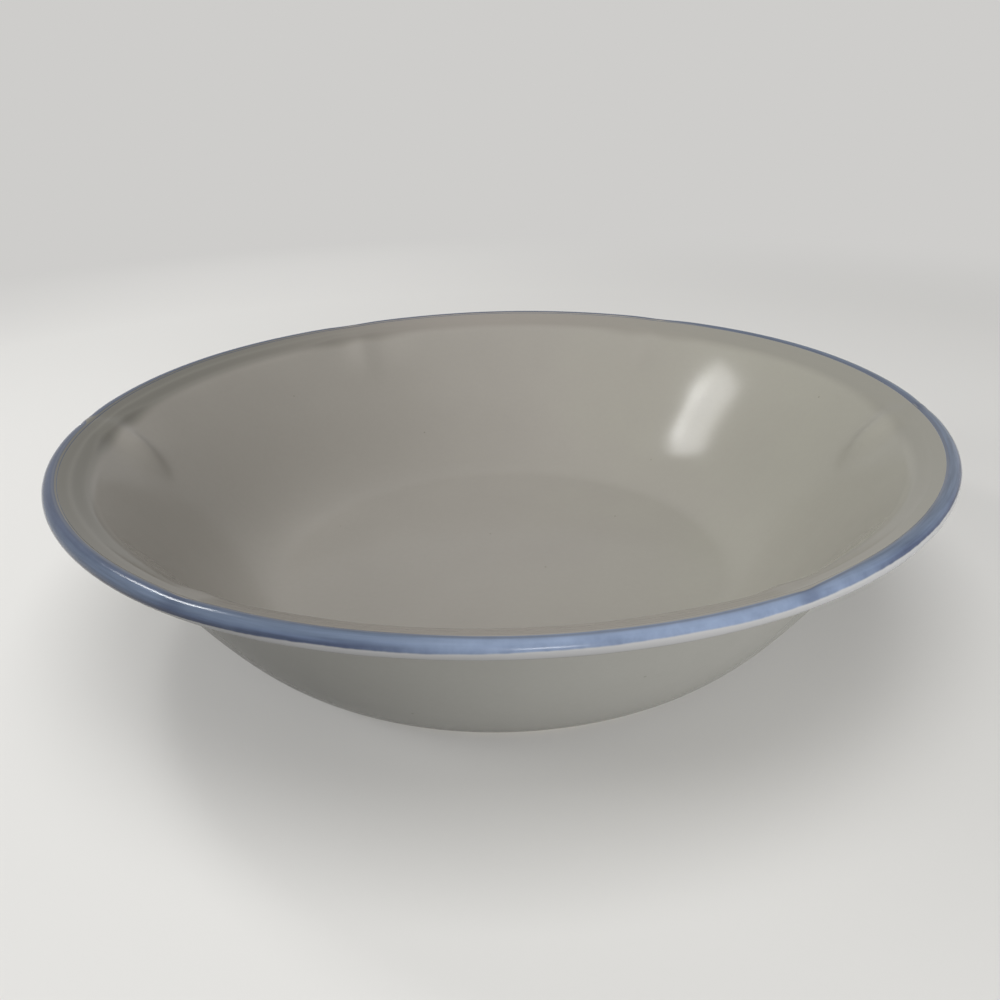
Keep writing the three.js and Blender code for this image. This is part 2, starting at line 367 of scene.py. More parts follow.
class Section:
    """The visible half section of the bowl, cut into the stretches that its coats cover."""

    FLOOR_STEPS = 12
    WALL_STEPS = 60
    SHOULDER_STEPS = 8
    FLANGE_STEPS = 30
    BAND_STEPS = 26
    OUTSIDE_STEPS = 52
    TURN_STEPS = 10
    FOOT_STEPS = 8
    HIDDEN_STRIDE = 4
    VALLEY_EASE = 0.25

    def __init__(self, shape):
        self.shape = shape
        self.shoulder = self.from_rim(shape.flange_width, shape.flange_drop)
        self.valley = self.from_rim(shape.valley_inset, shape.valley_drop)
        self.bead = self.from_rim(shape.lip_radius, shape.lip_radius)
        self.rows = []
        self.spans = {}
        for name, points, relief in (
            ("base", self.base(), None),
            ("foot", self.foot(), None),
            ("outside", self.outside(), None),
            ("band", self.band(), self.lip_relief),
            ("inside", self.inside(), self.inside_relief),
        ):
            self.add(name, points, relief)
        self.set_normals()
        self.set_runs()

    def from_rim(self, inset, drop):
        return Vector((self.shape.rim_radius - inset, self.shape.height - drop))

    def add(self, name, points, relief):
        first = max(len(self.rows) - 1, 0)
        fresh = points[1:] if self.rows else points
        self.rows.extend(Row(place, relief) for place in fresh)
        self.spans[name] = (first, len(self.rows) - 1)

    def set_normals(self):
        rows = self.rows
        for before, row, after in zip([rows[0], *rows], rows, [*rows[1:], rows[-1]]):
            along = (after.place - before.place).normalized()
            row.normal = Vector((along.y, -along.x))
        rows[0].normal = Vector((0, -1))
        rows[-1].normal = Vector((0, 1))

    def set_runs(self):
        """Distance along the section from the band's edge or, in the band, from its lower edge."""
        low, high = self.spans["band"]
        self.measure(self.rows[low::-1])
        self.measure(self.rows[high:])
        self.measure(self.rows[low:high])

    def measure(self, rows):
        rows[0].run = 0.0
        for before, row in zip(rows, rows[1:]):
            row.run = before.run + (row.place - before.place).length

    def on_bead(self, turn):
        return self.bead + heading(turn) * self.shape.lip_radius

    def base(self):
        shape = self.shape
        self.foot_inner = Vector((shape.foot_radius - shape.foot_width, 0))
        recess = Vector((self.foot_inner.x - shape.foot_slope, shape.foot_depth))
        self.bare_edge = self.foot_inner.lerp(recess, shape.foot_bare / shape.foot_depth)
        middle = Vector((0, shape.foot_depth))
        inset = recess - Vector((shape.foot_slope, 0))
        ceiling = curve_points([middle, inset], self.FOOT_STEPS)
        return ceiling + curve_points([inset, recess, self.bare_edge], self.FOOT_STEPS)[1:]

    def foot(self):
        shape = self.shape
        centre = Vector((shape.foot_radius - shape.foot_edge, shape.foot_edge))
        inner = self.foot_inner
        bearing = inner + Vector((shape.foot_edge / 2, 0))
        turn_in = curve_points([self.bare_edge, inner, bearing], self.FOOT_STEPS)
        return turn_in + arc_points(centre, shape.foot_edge, -math.pi / 2, 0, self.FOOT_STEPS)

    def outside(self):
        shape = self.shape
        start = Vector((shape.foot_radius, shape.foot_edge))
        square = heading(shape.wall_angle - math.pi / 2)
        top = self.shoulder + square * shape.wall_thickness - heading(shape.wall_angle) * shape.undercut
        side = sweep_points(
            start, shape.foot_angle, shape.outside_low_pull,
            top, shape.wall_angle, shape.outside_top_pull, self.OUTSIDE_STEPS,
        )
        bead_start = self.on_bead(shape.bead_start_angle)
        corner = Vector((top.x + (bead_start.y - top.y) / math.tan(shape.wall_angle), bead_start.y))
        turn = curve_points([top, corner, bead_start], self.TURN_STEPS)
        under = arc_points(
            self.bead, shape.lip_radius, shape.bead_start_angle, shape.band_lower_angle, self.TURN_STEPS
        )
        return side + turn[1:] + under[1:]

    def band(self):
        shape = self.shape
        return arc_points(
            self.bead, shape.lip_radius, shape.band_lower_angle, shape.band_upper_angle, self.BAND_STEPS
        )

    def inside(self):
        shape = self.shape
        floor_edge = Vector((shape.foot_radius - shape.heel_inset, shape.foot_depth + shape.floor_thickness))
        wall = sweep_points(
            floor_edge, 0.0, shape.wall_low_pull,
            self.shoulder, shape.wall_angle, shape.wall_top_pull, self.WALL_STEPS,
        )
        wall.reverse()
        below = heading(shape.wall_angle) * shape.shoulder_round
        before = (self.valley - self.shoulder).normalized() * shape.shoulder_round
        band_end = self.on_bead(shape.band_upper_angle)
        eased = self.valley.lerp(self.shoulder, self.VALLEY_EASE)
        ease = curve_points([band_end, self.valley, eased], self.SHOULDER_STEPS)
        flange = curve_points([ease[-1], self.shoulder + before], self.FLANGE_STEPS)
        edge = curve_points(
            [self.shoulder + before, self.shoulder, self.shoulder - below], self.SHOULDER_STEPS
        )
        lower = [place for place in wall if place.y < edge[-1].y]
        floor = curve_points([floor_edge, Vector((0, floor_edge.y))], self.FLOOR_STEPS)
        return ease + flange[1:] + edge[1:] + lower + floor[1:]

    def lip_relief(self, row):
        row.rib = self.shape.rib_lip_height
        row.rib_width = self.shape.rib_lip_width
        row.dip = max(row.place.y - self.bead.y, 0.0) / self.shape.lip_radius

    def inside_relief(self, row):
        shape = self.shape
        radius = row.place.x
        edge = self.shoulder.x
        down = smoothstep(radius, edge - shape.rib_reach, edge - shape.rib_rise)
        if radius > edge:
            part = (radius - edge) / (self.bead.x - edge)
            row.rib = between(shape.rib_shoulder_height, shape.rib_lip_height, part)
            row.rib_width = between(shape.rib_top_width, shape.rib_lip_width, part)
            row.pinch = 1 - smoothstep(radius, edge, self.valley.x)
            band_end = self.on_bead(shape.band_upper_angle).x
            row.dip = math.sin(shape.band_upper_angle) * smoothstep(radius, edge, band_end)
        else:
            rise = 1 - smoothstep(radius, edge - shape.rib_rise, edge)
            row.rib = between(shape.rib_shoulder_height, shape.rib_height, rise) * down
            row.rib_width = between(shape.rib_end_width, shape.rib_top_width, down)
            row.pinch = smoothstep(radius, edge - shape.pinch_reach, edge)
        outer = shape.rim_radius - shape.outer_line_inset
        inner = shape.rim_radius - shape.inner_line_inset
        row.line = hump(radius - outer, shape.line_width) + hump(radius - inner, shape.line_width)

    def visible(self, name):
        first, last = self.spans[name]
        return [(row, 0.0) for row in self.rows[first:last + 1]]

    def hidden(self, name):
        """The clay side of a coat, which needs fewer rows."""
        first, last = self.spans[name]
        kept = [*range(first, last, self.HIDDEN_STRIDE), last]
        return [(self.rows[i], self.shape.glaze_thickness) for i in kept]


# Turning and pressing


ROW_ATTRIBUTES = ("run", "rib", "rib_width", "pinch", "line", "dip")
SPENT_ATTRIBUTES = ("rib", "rib_width", "pinch", "dip", "section_normal")
RAIL_RADIUS = 0.1


def section_mesh(name, stations, closed):
    """The half section as a chain of edges in the XZ plane, with its relief as attributes."""
    places = [row.place - row.normal * depth for row, depth in stations]
    places = [(max(place.x, 0.0), 0.0, place.y) for place in places]
    edges = [(index, index + 1) for index in range(len(places) - 1)]
    if closed:
        edges.append((len(places) - 1, 0))
    mesh = bpy.data.meshes.new(name)
    mesh.from_pydata(places, edges, [])
    for key in ROW_ATTRIBUTES:
        layer = mesh.attributes.new(key, "FLOAT", "POINT")
        layer.data.foreach_set("value", [getattr(row, key) for row, depth in stations])
    normals = mesh.attributes.new("section_normal", "FLOAT_VECTOR", "POINT")
    for entry, (row, depth) in zip(normals.data, stations):
        entry.vector = (row.normal.x, 0.0, row.normal.y)
    return mesh


WHOLE_KEYS = ("columns", "lobes")
RELIEF_KEYS = (
    "cusp_angle", "rim_wave", "rib_fade", "pinch", "pinch_centre", "pinch_spread", "lip_dip",
    "lip_dip_width", "line_height", "line_gap",
)
FITTED_INPUTS = ("Wave start", "Wave full", "Flange slope")
WELD_DISTANCE = 1e-6
CREASE_ANGLE = math.radians(50)


def lobed_turning():
    """Geometry Nodes that turn a half section into a solid and press the lobed relief into it."""
    tree = bpy.data.node_groups.new("Lobed turning", "GeometryNodeTree")
    kinds = {"Half section": "Geometry", "Glaze": "Material"}
    kinds.update(dict.fromkeys(map(label_of, WHOLE_KEYS), "Int"))
    kinds.update(dict.fromkeys((*FITTED_INPUTS, *map(label_of, RELIEF_KEYS)), "Float"))
    for label, kind in kinds.items():
        tree.interface.new_socket(label, in_out="INPUT", socket_type=f"NodeSocket{kind}")
    tree.interface.new_socket("Solid", in_out="OUTPUT", socket_type="NodeSocketGeometry")
    wires = Wires(tree)
    given = tree.nodes.new("NodeGroupInput")
    inputs = {socket.name: Value(wires, socket) for socket in given.outputs if socket.name}

    turned = turned_surface(wires, inputs)
    pressed = pressed_surface(wires, inputs, turned)
    welded = wires.node("GeometryNodeMergeByDistance", None, {"Geometry": pressed, "Distance": WELD_DISTANCE})
    fold = wires.node("GeometryNodeInputMeshEdgeAngle")
    sharp = wires.node("FunctionNodeCompare", {"operation": "GREATER_THAN"}, {0: fold, 1: CREASE_ANGLE})
    smooth = wires.node("GeometryNodeSetShadeSmooth", {"domain": "FACE"}, {"Geometry": welded})
    creased = wires.node(
        "GeometryNodeSetShadeSmooth", {"domain": "EDGE"},
        {"Geometry": smooth, "Selection": sharp, "Shade Smooth": False},
    )
    real = wires.node("GeometryNodeRealizeInstances", None, {"Geometry": creased})
    glazed = wires.node("GeometryNodeSetMaterial", None, {"Geometry": real, "Material": inputs["Glaze"]})
    wires.node("NodeGroupOutput", None, {"Solid": glazed})
    return tree


def turned_surface(wires, inputs):
    """The section laid flat beside a circular rail and swept round it."""
    chain = wires.node("GeometryNodeMeshToCurve", None, {"Mesh": inputs["Half section"]})
    profile = wires.node(
        "GeometryNodeTransform", None,
        {"Geometry": chain, "Translation": (-RAIL_RADIUS, 0, 0), "Rotation": (math.pi / 2, 0, 0)},
    )
    rail = wires.node(
        "GeometryNodeCurvePrimitiveCircle", {"mode": "RADIUS"},
        {"Resolution": inputs["Columns"], "Radius": RAIL_RADIUS},
    )
    return wires.node("GeometryNodeCurveToMesh", None, {"Curve": rail, "Profile Curve": profile})


def named(wires, name, kind="FLOAT"):
    return wires.node("GeometryNodeInputNamedAttribute", {"data_type": kind}, {"Name": name})


def parts_of(wires, vector):
    split = wires.node("ShaderNodeSeparateXYZ", None, {"Vector": vector}).socket.node
    return [Value(wires, socket) for socket in split.outputs]


def level_parts(wires, place):
    """X, Y and the distance from the bowl's axis."""
    x, y, _ = parts_of(wires, place)
    return x, y, (x * x + y * y) ** 0.5


def pressed_surface(wires, inputs, turned):
    """The rim wave, ribs, lip dips, pinches and fine lines, as one move of every point."""
    x, y, radius = level_parts(wires, wires.node("GeometryNodeInputPosition"))
    lobe = 2 * math.pi / inputs["Lobes"]
    turn = wires.maths("ARCTAN2", y, x) - inputs["Cusp angle"]
    off_cusp = wires.maths("ABSOLUTE", wires.maths("WRAP", turn, lobe / 2, lobe / -2))
    cusp_distance = off_cusp * radius
    pinched = wires.bell(off_cusp - inputs["Pinch centre"], inputs["Pinch spread"])

    pressed = 1 - inputs["Rib fade"] * wires.maths("SINE", turn) ** 2.0
    rib = named(wires, "rib") * pressed * wires.bell(cusp_distance, named(wires, "rib_width"))
    lines = named(wires, "line") * inputs["Line height"] * (1 - wires.bell(off_cusp, inputs["Line gap"]))
    dip = named(wires, "dip") * inputs["Lip dip"] * wires.bell(cusp_distance, inputs["Lip dip width"])
    raised = rib + lines - dip
    pinch = named(wires, "pinch") * inputs["Pinch"] * pinched
    wave_share = wires.smooth(radius, inputs["Wave start"], inputs["Wave full"])
    wave = wave_share * inputs["Rim wave"] * wires.maths("COSINE", off_cusp * inputs["Lobes"]) * -1.0

    out, _, up = parts_of(wires, named(wires, "section_normal", "FLOAT_VECTOR"))
    outward = out * raised + pinch
    climb = pinch * inputs["Flange slope"]
    move = wires.node(
        "ShaderNodeCombineXYZ", None,
        {"X": x / radius * outward, "Y": y / radius * outward, "Z": up * raised + climb + wave},
    )
    marked = wires.node(
        "GeometryNodeStoreNamedAttribute", {"data_type": "FLOAT", "domain": "POINT"},
        {"Geometry": turned, "Name": "cusp_distance", "Value": cusp_distance},
    )
    return wires.node("GeometryNodeSetPosition", None, {"Geometry": marked, "Offset": move})


def turn_piece(context, name, node, stations, closed, glaze):
    """One coat or body: its section turned, pressed, made a plain mesh and put on the bowl."""
    shape = context.scene.bowl_shape
    tree = bpy.data.node_groups.get("Lobed turning") or lobed_turning()
    piece = bpy.data.objects.new(name, section_mesh(name, stations, closed))
    context.scene.collection.objects.link(piece)
    modifier = piece.modifiers.new("Turning", "NODES")
    modifier.node_group = tree
    shoulder = shape.rim_radius - shape.flange_width
    settings = {label_of(key): getattr(shape, key) for key in (*WHOLE_KEYS, *RELIEF_KEYS)}
    settings["Wave start"] = shoulder - shape.wave_reach
    settings["Wave full"] = shoulder
    run = shape.flange_width - shape.valley_inset
    settings["Flange slope"] = (shape.flange_drop - shape.valley_drop) / run
    settings["Glaze"] = glaze
    for socket in tree.interface.items_tree:
        if socket.in_out == "INPUT" and socket.name in settings:
            modifier[socket.identifier] = settings[socket.name]
    graph = context.evaluated_depsgraph_get()
    solid = bpy.data.meshes.new_from_object(
        piece.evaluated_get(graph), preserve_all_data_layers=True, depsgraph=graph
    )
    piece.modifiers.clear()
    chain = piece.data
    piece.data = solid
    bpy.data.meshes.remove(chain)
    solid.name = name
    face_outwards(solid)
    for spent in SPENT_ATTRIBUTES:
        if spent in solid.attributes:
            solid.attributes.remove(solid.attributes[spent])
    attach(piece, BODY)
    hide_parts(node)


def face_outwards(mesh):
    """A turned section may come out with either side showing."""
    work = bmesh.new()
    work.from_mesh(mesh)
    bmesh.ops.recalc_face_normals(work, faces=work.faces)
    open_edges = [edge for edge in work.edges if not edge.is_manifold]
    if open_edges:
        raise RuntimeError(f"{mesh.name} isn't closed: {len(open_edges)} open edges")
    work.to_mesh(mesh)
    work.free()


# Finishes


# Scales of the noises, in cells to a metre
CLOUD_SCALE = 26.0
GRAIN_SCALE = 700.0
RAG_SCALE = 90.0
PATCH_SCALE = 24.0
BRUSH_SCALE = 75.0
STREAK_SCALE = 420.0
RIPPLE_SCALE = 45.0
GRIT_SCALE = 900.0
MOTTLE_SCALE = 60.0
NOISE_ROUGHNESS = 0.55


class Coat:
    """How the grey coats vary. Places and widths are in metres, left and right along the X axis."""

    SHADE = 0.93
    CLOUD_SHADE = 0.1
    GRAIN_SHADE = 0.04
    LEFT = (0.0, 0.11)
    RIGHT = (-0.01, 0.11)
    RIGHT_SWING = 0.08
    FLANGE_BLEND = 1.5 * MM
    LINE_PALENESS = 0.16
    THIN_REACH = 1.9 * MM
    THIN_START = 0.6
    THIN_SWING = 1.2 * MM
    SPILL_BLEND = (-0.1 * MM, 0.2 * MM)
    SPECK_SHARE = 0.4
    ROUGHNESS_SWING = 0.04
    RIPPLE_DEPTH = 0.8 * MM


class Band:
    """How the blue lies on the lip. Heights are shares of the band, places and widths are in metres."""

    # The lower edge, which climbs to the right and runs on under the lip to the left
    EDGE = 0.06
    EDGE_CLIMB = 0.12
    SPILL = 0.3
    SPILL_START = (0.25, 0.85)
    EDGE_PATCHES = 0.2
    EDGE_STREAKS = 0.05
    EDGE_BLEND = (-0.02, 0.05)
    # The paint in between
    STOPS = (0.0, 0.1, 0.22, 0.38, 0.62, 0.78)
    STOP_SWING = 0.3
    PALE_SHARE = 0.5
    PALE_LEVEL = 0.35
    MARK_SHADE = 0.55
    MARK_SWING = 0.9
    MARKS = 7.0
    # Painted shade: the band darker to the left and at the back
    THICK_SIDE = (-0.8, 0.6)
    THICK_REACH = (-0.02, 0.08)
    THICK_SHARE = 0.6
    # Painted sheen: the band lighter towards the front
    WORN_SIDE = (0.25, -0.97)
    WORN_REACH = (0.1, 0.113)
    WORN_SHARE = 0.7
    WORN_STREAKS = 0.6
    WORN_PATCHES = 0.3
    CUSP_WIDTH = 3.0 * MM
    CUSP_SHARE = 0.45
    # The upper edge, where the paint pools, and its notch at each cusp
    END = 0.86
    END_CLIMB = 0.14
    END_CLIMB_START = (0.04, 0.1)
    END_WEAR = 0.18
    END_SWING = 0.06
    END_BLEND = (-0.03, 0.04)
    POOL_INSET = 0.08
    POOL_WIDTH = 0.06
    POOL_SHARE = 0.7
    NOTCH = 0.08
    NOTCH_LEFT = 0.3
    NOTCH_LEFT_START = (0.09, 0.112)
    NOTCH_WIDTH = 2.4 * MM
    ROUGHNESS_SWING = 0.08


def new_material(name):
    """An empty node material with its shader and output, and the wires to fill it."""
    material = bpy.data.materials.new(name)
    material.use_nodes = True
    tree = material.node_tree
    tree.nodes.clear()
    shader = tree.nodes.new("ShaderNodeBsdfPrincipled")
    output = tree.nodes.new("ShaderNodeOutputMaterial")
    tree.links.new(shader.outputs["BSDF"], output.inputs["Surface"])
    return material, shader, Wires(tree)


def feed(wires, shader, **sockets):
    """Links varying values and sets constant ones on the shader's own sockets."""
    for name, entry in sockets.items():
        wires.plug(entry, shader.inputs[name.replace("_", " ")])


def object_place(wires):
    return wires.node("ShaderNodeTexCoord", None, None, output=3)


def noise(wires, place, scale, detail=2.0):
    return wires.node(
        "ShaderNodeTexNoise", None,
        {"Vector": place, "Scale": scale, "Detail": detail, "Roughness": NOISE_ROUGHNESS},
    )


def swing(pattern, amount):
    """A noise turned into a change of up to half the amount, either way."""
    return (pattern - 0.5) * amount


def shaded(wires, tone, shade):
    """A colour made lighter or darker by a varying shade."""
    shades = wires.node("ShaderNodeCombineColor", None, {"Red": shade, "Green": shade, "Blue": shade})
    return wires.mix(1.0, tone, shades, "MULTIPLY")


def towards(x, y, side):
    """How far a point lies towards a side of the bowl."""
    return x * side[0] + y * side[1]


def attribute(wires, name):
    return wires.node("ShaderNodeAttribute", {"attribute_name": name}, None, output=2)


def specks(wires, place, per_metre, kept, reach):
    """Sparse round dots: a few cells of a cell pattern hold one dot each."""
    cells = wires.node("ShaderNodeTexVoronoi", {"feature": "F1"}, {"Vector": place, "Scale": per_metre})
    tint = Value(wires, cells.socket.node.outputs["Color"])
    chance = parts_of(wires, tint)[0]
    chosen = wires.maths("GREATER_THAN", chance, 1 - kept)
    return chosen * (1 - wires.smooth(cells, reach / 2, reach))


def bump(wires, height, strength, depth):
    return wires.node("ShaderNodeBump", None, {"Strength": strength, "Distance": depth, "Height": height})


def glaze_bump(wires, place, strength):
    """The faint waviness of a fired glaze."""
    return bump(wires, noise(wires, place, RIPPLE_SCALE, detail=1.0), strength, Coat.RIPPLE_DEPTH)


def flange_tone(wires, look, x):
    """The flange's coat: darker to the left as painted shade, greener to the right."""
    # Painted shade darkens the flange towards the left
    tone = wires.mix(wires.smooth(-x, *Coat.LEFT), look.flange, look.flange_deep)
    return wires.mix(wires.smooth(x, *Coat.RIGHT), tone, look.flange_green)


def grey_glaze(look, name, tint, shoulder=0.0, lip_shape=None):
    """The warm grey coat, with faint clouds and sparse specks.

    Given the shoulder's radius, the coat is greener to the right and darker on the flange, with painted shade
    darker still to the left, where the flange's raised lines are paler. Given the lip's shape, it is pale or
    blue next to the band.
    """
    material, shader, wires = new_material(name)
    place = object_place(wires)
    cloud = noise(wires, place, CLOUD_SCALE, detail=3.0)
    grain = noise(wires, place, GRAIN_SCALE)
    shade = Coat.SHADE + cloud * Coat.CLOUD_SHADE + grain * Coat.GRAIN_SHADE
    body = shaded(wires, tint, shade)
    if shoulder:
        x, _, radius = level_parts(wires, place)
        right = wires.smooth(x + swing(cloud, Coat.RIGHT_SWING), *Coat.RIGHT)
        body = wires.mix(right, body, shaded(wires, look.inside_green, shade))
        on_flange = wires.smooth(radius, shoulder - Coat.FLANGE_BLEND, shoulder + Coat.FLANGE_BLEND)
        body = wires.mix(on_flange, body, flange_tone(wires, look, x))
        pale = attribute(wires, "line") * wires.smooth(-x, *Coat.LEFT) * Coat.LINE_PALENESS
        body = wires.mix(pale, body, look.inside)
    if lip_shape is not None:
        run = attribute(wires, "run")
        ragged = run + swing(noise(wires, place, RAG_SCALE), Coat.THIN_SWING)
        thin = 1 - wires.smooth(ragged, Coat.THIN_REACH * Coat.THIN_START, Coat.THIN_REACH)
        body = wires.mix(thin, body, look.thin)
        spilt = -paint_edge(wires, place, lip_shape) * band_length(lip_shape) - run
        body = wires.mix(wires.smooth(spilt, *Coat.SPILL_BLEND), body, look.blue_deep)
    dots = specks(wires, place, per_metre=260.0, kept=0.025, reach=0.1)
    body = wires.mix(dots * Coat.SPECK_SHARE, body, look.speck)
    feed(
        wires, shader, Base_Color=body, Roughness=look.gloss_roughness + swing(cloud, Coat.ROUGHNESS_SWING),
        Normal=glaze_bump(wires, place, strength=0.03), Specular_IOR_Level=look.shine,
    )
    return material


def band_length(shape):
    return shape.lip_radius * (shape.band_upper_angle - shape.band_lower_angle)


def paint_edge(wires, place, shape):
    """Where the blue stops, as a share of the band. Below nought it runs on under the lip."""
    drift = parts_of(wires, place)[0] / shape.rim_radius
    patch = noise(wires, place, PATCH_SCALE)
    streak = noise(wires, place, STREAK_SCALE)
    spread = drift * Band.EDGE_CLIMB - wires.smooth(-drift, *Band.SPILL_START) * Band.SPILL
    return Band.EDGE + spread + swing(patch, Band.EDGE_PATCHES) + swing(streak, Band.EDGE_STREAKS)


def brush_marks(wires, x, y, run):
    """Long thin streaks along the lip. They meet at the back, where the angle starts anew."""
    along = wires.maths("ARCTAN2", x, -y) * Band.MARKS
    flat = wires.node("ShaderNodeCombineXYZ", None, {"X": along, "Y": run * Band.MARKS})
    return noise(wires, flat, 1.0)


def band_paint(wires, look, x, y, run, height, brush, streak):
    """The blue itself: light in the middle, with brush marks, painted shade to the left and at the back, and
    a painted sheen at the front.
    """
    depths = (look.blue_deep, look.blue_deep, look.blue, look.blue_light, look.blue_light, look.blue)
    stops = [(stop, (*shade, 1)) for stop, shade in zip(Band.STOPS, depths)]
    thickness = height + swing(brush, Band.STOP_SWING)
    tone = wires.node("ShaderNodeValToRGB", {"stops": stops}, {"Fac": thickness})
    pale = swing(streak, Band.PALE_SHARE) + (brush - Band.PALE_LEVEL) * Band.PALE_SHARE
    tone = wires.mix(pale, tone, look.blue_light)
    tone = shaded(wires, tone, Band.MARK_SHADE + brush_marks(wires, x, y, run) * Band.MARK_SWING)
    # Painted shade: the band deeper blue to the left and at the back
    painted_shade = wires.smooth(towards(x, y, Band.THICK_SIDE), *Band.THICK_REACH)
    tone = wires.mix(painted_shade * Band.THICK_SHARE, tone, look.blue_deep)
    # Painted sheen: the band lighter towards the front, streaked and patchy
    front = wires.smooth(towards(x, y, Band.WORN_SIDE), *Band.WORN_REACH)
    sheen_share = Band.WORN_SHARE + swing(streak, Band.WORN_STREAKS) + swing(brush, Band.WORN_PATCHES)
    painted_sheen = wires.maths("MINIMUM", front * sheen_share, 1.0)
    return wires.mix(painted_sheen, tone, look.blue_worn), front


def blue_band(look, shape):
    """The band: ragged below, pooled where it ends behind the crest, and deep at the cusps."""
    material, shader, wires = new_material("Blue band glaze")
    place = object_place(wires)
    x, y, _ = parts_of(wires, place)
    run = attribute(wires, "run") / band_length(shape)
    cusp = attribute(wires, "cusp_distance")
    brush = noise(wires, place, BRUSH_SCALE, detail=3.0)
    streak = noise(wires, place, STREAK_SCALE)
    height = run - paint_edge(wires, place, shape)
    tone, front = band_paint(wires, look, x, y, run, height, brush, streak)
    climb = wires.smooth(x, *Band.END_CLIMB_START) * Band.END_CLIMB
    end = Band.END + climb - front * Band.END_WEAR
    pooled = wires.bell(run - end + Band.POOL_INSET, Band.POOL_WIDTH)
    tone = wires.mix(pooled * Band.POOL_SHARE, tone, look.blue_pooled)
    tone = wires.mix(wires.bell(cusp, Band.CUSP_WIDTH) * Band.CUSP_SHARE, tone, look.blue_deep)
    tone = wires.mix(wires.smooth(height, *Band.EDGE_BLEND), look.thin, tone)
    notch = Band.NOTCH + wires.smooth(-x, *Band.NOTCH_LEFT_START) * Band.NOTCH_LEFT
    notch = wires.bell(cusp, Band.NOTCH_WIDTH) * notch
    beyond = wires.smooth(run + swing(brush, Band.END_SWING) + notch - end, *Band.END_BLEND)
    tone = wires.mix(beyond, tone, flange_tone(wires, look, x))
    feed(
        wires, shader, Base_Color=tone, Roughness=look.band_roughness + swing(streak, Band.ROUGHNESS_SWING),
        Normal=glaze_bump(wires, place, strength=0.05), Specular_IOR_Level=look.band_shine,
    )
    return material


def bare_clay(look):
    """Fired clay without glaze: matte, gritty and finely speckled."""
    material, shader, wires = new_material("Bare fired clay")
    place = object_place(wires)
    grit = noise(wires, place, GRIT_SCALE, detail=4.0)
    mottle = noise(wires, place, MOTTLE_SCALE)
    body = shaded(wires, look.clay, 0.8 + grit * 0.25 + mottle * 0.15)
    dots = specks(wires, place, per_metre=420.0, kept=0.05, reach=0.2)
    body = wires.mix(dots * 0.6, body, look.speck)
    rough = bump(wires, grit, strength=0.35, depth=0.3 * MM)
    feed(wires, shader, Base_Color=body, Roughness=0.75 + grit * 0.15, Normal=rough)
    return material


# One operator for each piece


class BowlOperator(bpy.types.Operator):
    """Shared by the operators that make the bowl's pieces."""

    bl_idname = "bowl.piece"
    bl_label = "Bowl piece"
    bl_options = {"REGISTER", "UNDO"}


class BOWL_OT_inner_glaze(BowlOperator):
    """Make the grey coat on the floor, wall and flange"""

    bl_idname = "bowl.inner_glaze"
    bl_label = "Inner Glaze"

    def execute(self, context):
        look = context.scene.bowl_look
        section = Section(context.scene.bowl_shape)
        stations = section.hidden("inside")[::-1] + section.visible("inside")
        glaze = grey_glaze(look, "Warm grey glaze inside", look.inside, shoulder=section.shoulder.x)
        turn_piece(context, "inside_coat", "inner_glaze", stations, False, glaze)
        return {"FINISHED"}


class BOWL_OT_rim_band(BowlOperator):
    """Make the blue band over the lip"""

    bl_idname = "bowl.rim_band"
    bl_label = "Rim Band"

    def execute(self, context):
        shape = context.scene.bowl_shape
        section = Section(shape)
        stations = section.visible("band") + section.hidden("band")[::-1]
        glaze = blue_band(context.scene.bowl_look, shape)
        turn_piece(context, "lip_band", "rim_band", stations, True, glaze)
        return {"FINISHED"}


class BOWL_OT_outer_glaze(BowlOperator):
    """Make the grey coat on the outside"""

    bl_idname = "bowl.outer_glaze"
    bl_label = "Outer Glaze"

    def execute(self, context):
        look = context.scene.bowl_look
        shape = context.scene.bowl_shape
        section = Section(shape)
        stations = section.visible("outside") + section.hidden("outside")[::-1]
        glaze = grey_glaze(look, "Warm grey glaze outside", look.outside, lip_shape=shape)
        turn_piece(context, "outside_coat", "outer_glaze", stations, True, glaze)
        return {"FINISHED"}


class BOWL_OT_base_glaze(BowlOperator):
    """Make the grey coat in the recess under the bowl"""

    bl_idname = "bowl.base_glaze"
    bl_label = "Base Glaze"

    def execute(self, context):
        look = context.scene.bowl_look
        section = Section(context.scene.bowl_shape)
        stations = section.visible("base") + section.hidden("base")[::-1]
        glaze = grey_glaze(look, "Warm grey glaze underneath", look.outside)
        turn_piece(context, "recess_coat", "base_glaze", stations, False, glaze)
        return {"FINISHED"}


class BOWL_OT_clay_body(BowlOperator):
    """Make the clay body, which shows at the bare foot ring"""

    bl_idname = "bowl.clay_body"
    bl_label = "Clay Body"

    def execute(self, context):
        section = Section(context.scene.bowl_shape)
        stations = (
            section.hidden("base") + section.visible("foot") + section.hidden("outside")
            + section.hidden("band")[1:] + section.hidden("inside")[1:]
        )
        clay = bare_clay(context.scene.bowl_look)
        turn_piece(context, "fired_clay", "clay_body", stations, False, clay)
        return {"FINISHED"}


class BOWL_OT_stage(BowlOperator):
    """Make the floor, the lamps and the camera"""

    bl_idname = "bowl.stage"
    bl_label = "Stage"

    def execute(self, context):
        studio = context.scene.bowl_studio
        make_floor(context, studio)
        wall = Vector(WALL_SPOT) * MM
        for name, place, panel, power in WALL_LAMPS:
            place = Vector(place) * MM
            panel_lamp(context, name, place, wall, panel, getattr(studio, power), True, WALL_LEAN)
        middle = Vector((0, 0, context.scene.bowl_shape.height / 2))
        for name, angles, panel, power, mirrored in LAMPS:
            panel_lamp(context, name, from_angles(*angles), middle, panel, getattr(studio, power), mirrored)
        make_sky(context, studio)
        place_camera(context, studio)
        context.scene.view_settings.view_transform = "Standard"
        return {"FINISHED"}


# Stage


